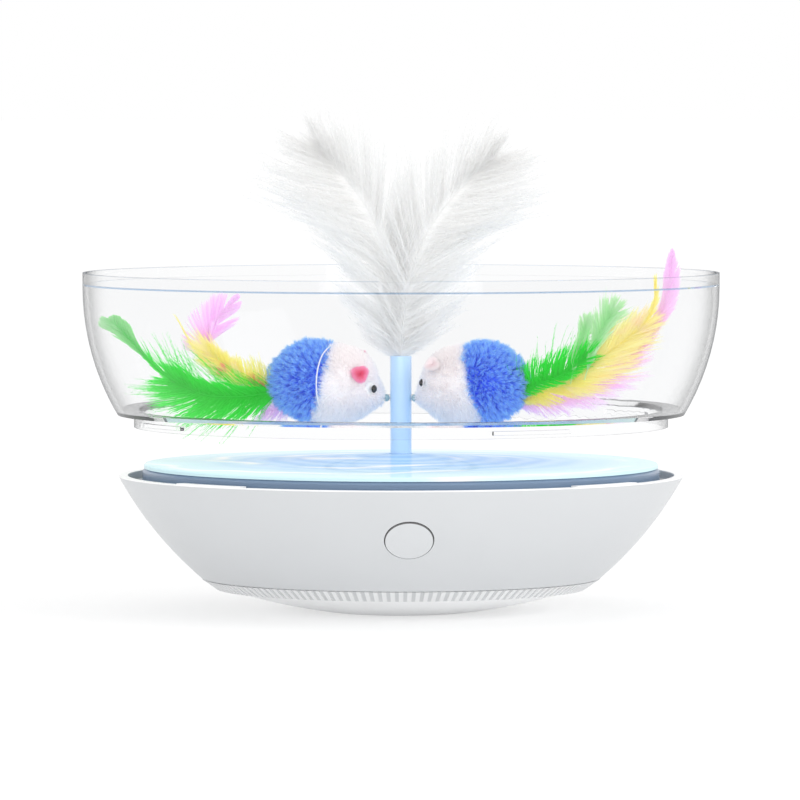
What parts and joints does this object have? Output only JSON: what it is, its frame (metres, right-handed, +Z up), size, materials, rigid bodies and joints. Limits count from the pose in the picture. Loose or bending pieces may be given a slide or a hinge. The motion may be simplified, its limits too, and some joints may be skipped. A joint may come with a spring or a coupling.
{
  "type": "interactive cat feather teaser",
  "caption": "Round electric cat toy: a motor turns a ripple disc whose post holds plush mice and feathers, inside a clear guard bowl that lifts off.",
  "frame": {"origin": "centre of the flat that the foot stands on, on the turntable's axis", "axes": "+Z up along the turntable's axis; the front, with the power button, faces -Y; +X is to the right seen from the front"},
  "size_m": [0.25, 0.25, 0.1936],
  "materials": {
    "white_plastic": "satin",
    "foot_plastic": "satin",
    "ring_plastic": "satin",
    "button_plastic": "satin",
    "inner_plastic": "matte",
    "slate_plastic": "gloss",
    "ripple_plastic": "gloss, rippled, translucent",
    "post_plastic": "gloss, translucent",
    "clear_plastic": "clear, gloss",
    "steel": "bright",
    "bronze": "sintered",
    "gear_plastic": "matte",
    "motor_can": "bright",
    "battery_wrap": "matte",
    "board": "matte",
    "switch_plastic": "matte",
    "blue_plush": "plush",
    "white_plush": "plush",
    "pink_felt": "felt",
    "bead_black": "gloss",
    "nose_dark": "gloss",
    "white_feather": "downy",
    "green_feather": "downy",
    "yellow_feather": "downy",
    "pink_feather": "downy"
  },
  "bodies": {
    "base": {"bottom_dome": "foot_plastic", "ballast_weight": "steel", "ribbed_ring": "ring_plastic", "base_shell": "white_plastic", "deck": "inner_plastic", "ring_screws": "steel", "deck_screws": "steel", "chassis_plate": "inner_plastic", "chassis_screws": "steel", "lower_bush": "bronze", "upper_bush": "bronze", "thrust_washer": "steel", "idler_axle": "steel", "motor": "motor_can", "motor_screws": "steel", "battery_cradle": "inner_plastic", "battery": "battery_wrap", "circuit_board": "board", "board_screws": "steel", "charging_socket": "steel", "switch_body": "switch_plastic", "switch_board": "board"},
    "power_button": {"power_button": "button_plastic", "switch_plunger": "switch_plastic"},
    "turntable": {"turntable_tray": "slate_plastic", "ripple_disc": "ripple_plastic", "post": "post_plastic", "spindle_screw": "steel", "spindle": "steel", "output_gear": "gear_plastic", "plume_ferrule": "post_plastic", "cross_wire": "steel", "left_plume": "white_feather", "right_plume": "white_feather", "left_mouse_rump": "blue_plush", "left_mouse_head": "white_plush", "left_mouse_ears": "pink_felt", "left_mouse_eyes": "bead_black", "left_mouse_nose": "nose_dark", "left_green_feather": "green_feather", "left_yellow_feather": "yellow_feather", "left_pink_feather": "pink_feather", "right_mouse_rump": "blue_plush", "right_mouse_head": "white_plush", "right_mouse_ears": "pink_felt", "right_mouse_eyes": "bead_black", "right_mouse_nose": "nose_dark", "right_green_feather": "green_feather", "right_yellow_feather": "yellow_feather", "right_pink_feather": "pink_feather"},
    "idler": {"idler_gear": "gear_plastic"},
    "motor_drive": {"motor_shaft": "steel", "motor_pinion": "gear_plastic"},
    "bowl": {"clear_bowl": "clear_plastic"}
  },
  "joints": [
    {"name": "turntable_spin", "type": "hinge", "parent": "base", "child": "turntable", "pos_m": [0, 0, 0.05], "axis": [0, 0, 1], "continuous": true},
    {"name": "idler_spin", "type": "hinge", "parent": "base", "child": "idler", "pos_m": [-0.024, 0, 0.035], "axis": [0, 0, 1], "continuous": true},
    {"name": "pinion_spin", "type": "hinge", "parent": "base", "child": "motor_drive", "pos_m": [-0.044, 0, 0.03], "axis": [0, 0, 1], "continuous": true},
    {"name": "bowl_lift", "type": "slide", "parent": "base", "child": "bowl", "axis": [0, 0, 1], "range_m": [-0.0233, 0.004]},
    {"name": "button_press", "type": "slide", "parent": "base", "child": "power_button", "axis": [-0.0248, 0.788, 0.6152], "range_m": [0, 0.0006], "stiffness_N_per_m": 800, "springref_m": -0.0005}
  ],
  "couplings": [
    {"joint": "idler_spin", "follows": "turntable_spin", "ratio": -4},
    {"joint": "pinion_spin", "follows": "turntable_spin", "ratio": 16}
  ]
}
